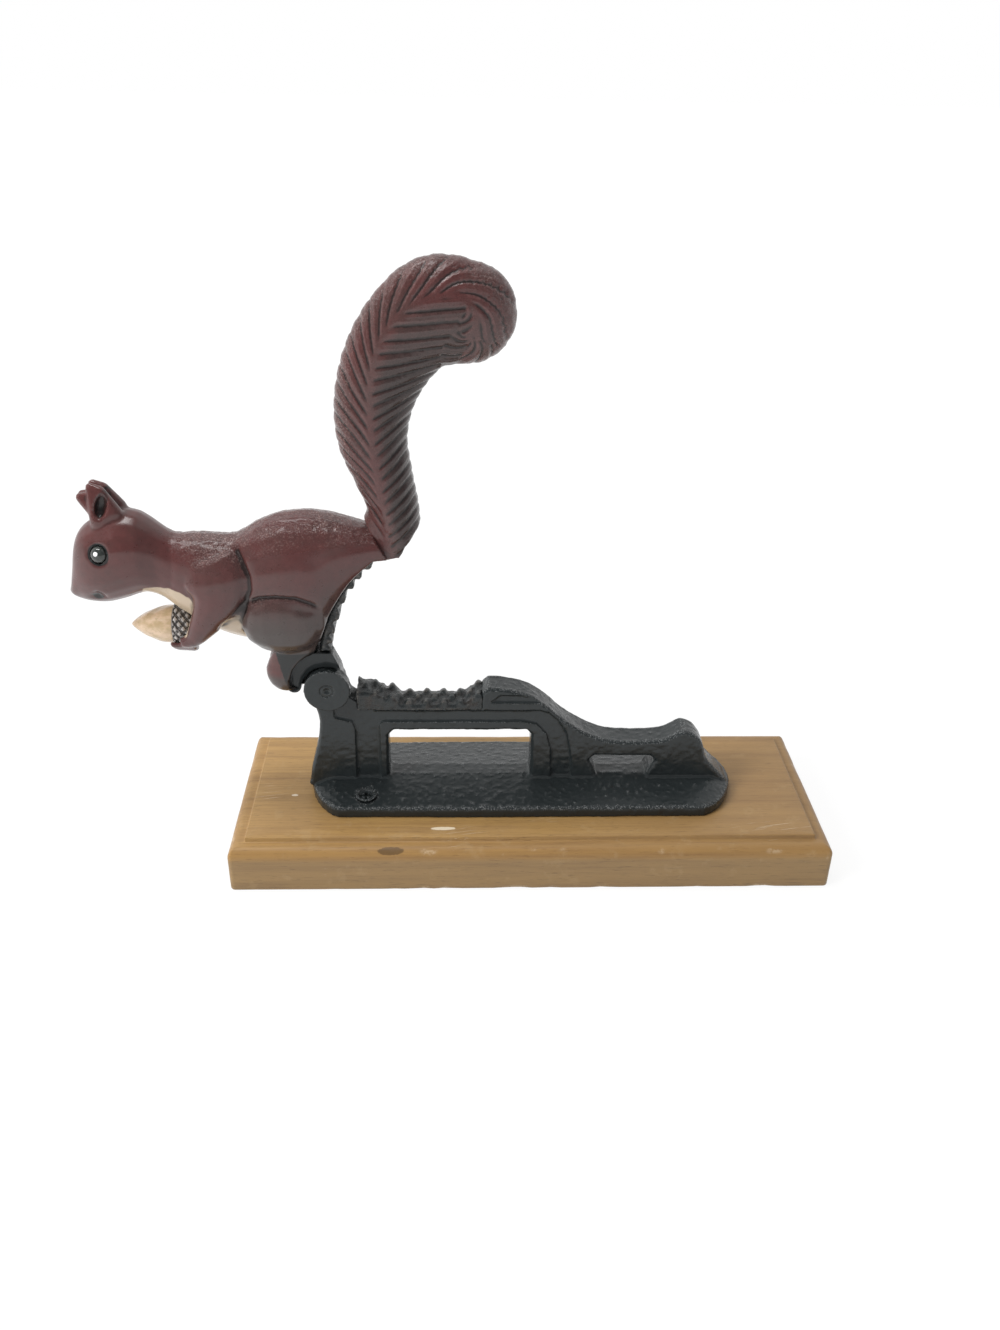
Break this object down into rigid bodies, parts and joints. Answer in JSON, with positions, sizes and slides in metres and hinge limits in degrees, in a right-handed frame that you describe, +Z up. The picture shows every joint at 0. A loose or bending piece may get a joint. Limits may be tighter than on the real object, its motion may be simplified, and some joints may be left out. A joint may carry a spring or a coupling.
{
  "type": "lever nutcracker press",
  "caption": "Squirrel-shaped lever nutcracker: the tail is the handle, the lever turns on a pin in an iron base and closes toothed jaws on a nut, on a wooden plinth.",
  "frame": {"origin": "middle of the plinth's underside", "axes": "+X along the plinth from the squirrel towards the knob, +Y to the back, +Z up"},
  "size_m": [0.2665, 0.076, 0.2118],
  "materials": {
    "plinth": "varnished",
    "base_casting": "gloss black paint",
    "lower_jaw": "worn bare iron",
    "hinge_pin": "painted over",
    "mounting_screws": "painted over",
    "lever_knuckle": "gloss black paint",
    "lever_jaw": "worn bare iron",
    "squirrel_body": "gloss maroon paint",
    "squirrel_tail": "gloss maroon paint",
    "acorn_nut": "gold paint",
    "acorn_cup": "grey-brown paint",
    "eyes": "gloss black paint"
  },
  "bodies": {
    "base": {"plinth": "plinth", "base_casting": "base_casting", "lower_jaw": "lower_jaw", "hinge_pin": "hinge_pin", "mounting_screws": "mounting_screws"},
    "lever": {"lever_knuckle": "lever_knuckle", "lever_jaw": "lever_jaw", "squirrel_body": "squirrel_body", "squirrel_tail": "squirrel_tail", "acorn_nut": "acorn_nut", "acorn_cup": "acorn_cup", "eyes": "eyes"}
  },
  "joints": [
    {"name": "lever_hinge", "type": "hinge", "parent": "base", "child": "lever", "pos_m": [-0.073, 0, 0.065], "axis": [0, 1, 0], "range_deg": [0, 60]}
  ]
}
